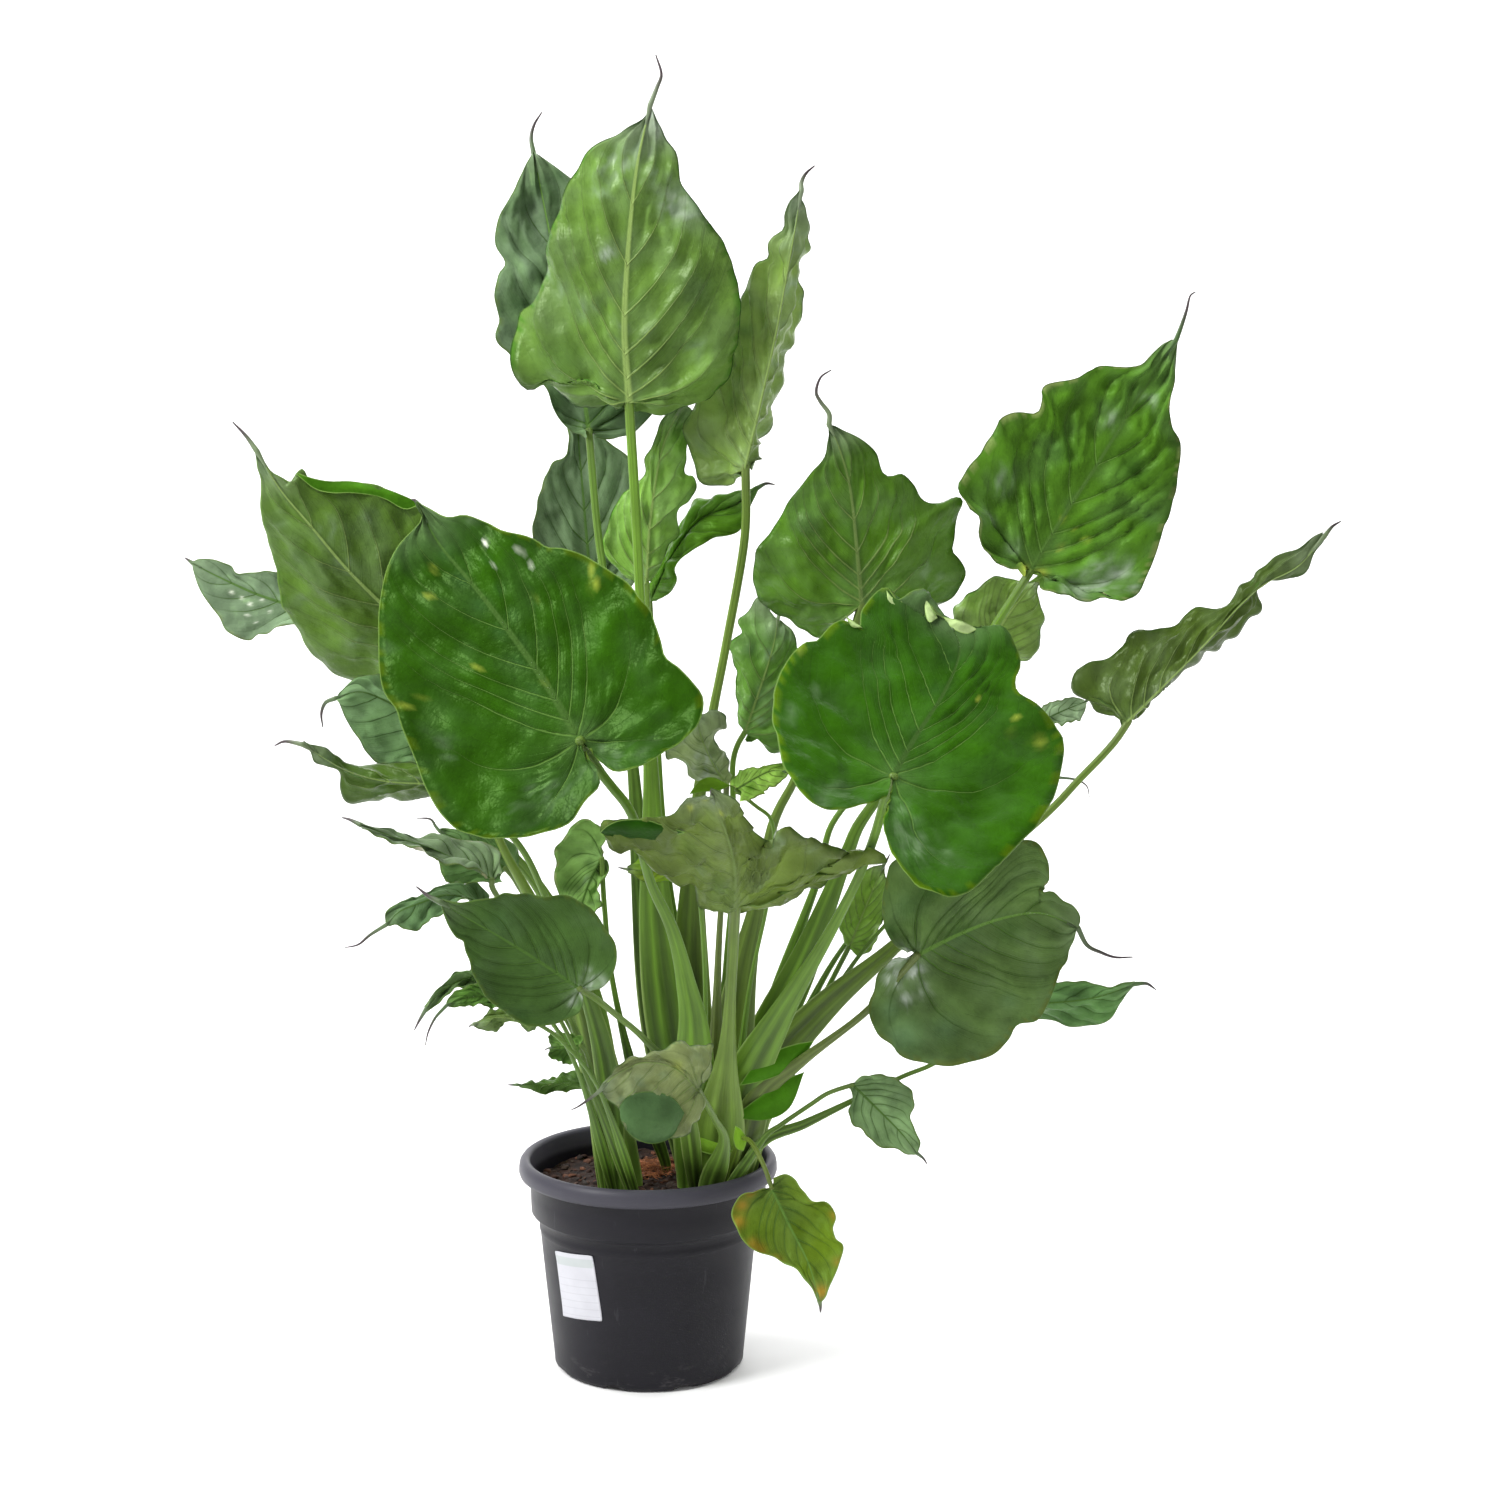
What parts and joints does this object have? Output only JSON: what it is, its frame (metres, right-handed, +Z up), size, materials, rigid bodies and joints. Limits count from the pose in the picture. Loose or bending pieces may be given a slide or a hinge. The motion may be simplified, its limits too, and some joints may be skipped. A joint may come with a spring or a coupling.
{
  "type": "potted plant",
  "caption": "Potted hooded dwarf elephant ear: an upright clump of heart-shaped, cupped green leaves on long stalks, in a tapered black nursery pot of soil",
  "frame": {"origin": "centre of the pot's base, on the floor", "axes": "+Z up, the way the plant grows; -Y toward the side the picture shows; +X to the right of it"},
  "size_m": [1.0832, 0.6055, 1.2287],
  "materials": {
    "pot_plastic": "matte",
    "soil_peat": "rough",
    "label_paper": "satin",
    "leaf_blue": "semi-gloss",
    "leaf_bright": "semi-gloss",
    "leaf_dull": "semi-gloss",
    "leaf_dusty": "semi-gloss",
    "leaf_green": "semi-gloss",
    "leaf_lime": "semi-gloss",
    "leaf_olive": "semi-gloss",
    "leaf_yellow": "semi-gloss"
  },
  "bodies": {
    "root": {"pot": "pot_plastic", "soil": "soil_peat", "label": "label_paper", "leaf_01": "leaf_lime", "leaf_02": "leaf_blue", "leaf_03": "leaf_olive", "leaf_04": "leaf_blue", "leaf_05": "leaf_lime", "leaf_06": "leaf_green", "leaf_07": "leaf_olive", "leaf_08": "leaf_bright", "leaf_09": "leaf_bright", "leaf_10": "leaf_olive", "leaf_11": "leaf_blue", "leaf_12": "leaf_blue", "leaf_13": "leaf_olive", "leaf_14": "leaf_dull", "leaf_15": "leaf_blue", "leaf_16": "leaf_blue", "leaf_17": "leaf_dull", "leaf_18": "leaf_blue", "leaf_19": "leaf_green", "leaf_20": "leaf_green", "leaf_21": "leaf_blue", "leaf_22": "leaf_dull", "leaf_23": "leaf_olive", "leaf_24": "leaf_dusty", "leaf_25": "leaf_lime", "leaf_26": "leaf_lime", "leaf_27": "leaf_bright", "leaf_28": "leaf_lime", "leaf_29": "leaf_olive", "leaf_30": "leaf_dusty", "leaf_31": "leaf_blue", "leaf_32": "leaf_blue", "leaf_33": "leaf_green", "leaf_34": "leaf_lime", "leaf_35": "leaf_blue", "leaf_36": "leaf_yellow", "leaf_37": "leaf_lime", "leaf_38": "leaf_green", "leaf_39": "leaf_green"}
  },
  "joints": []
}
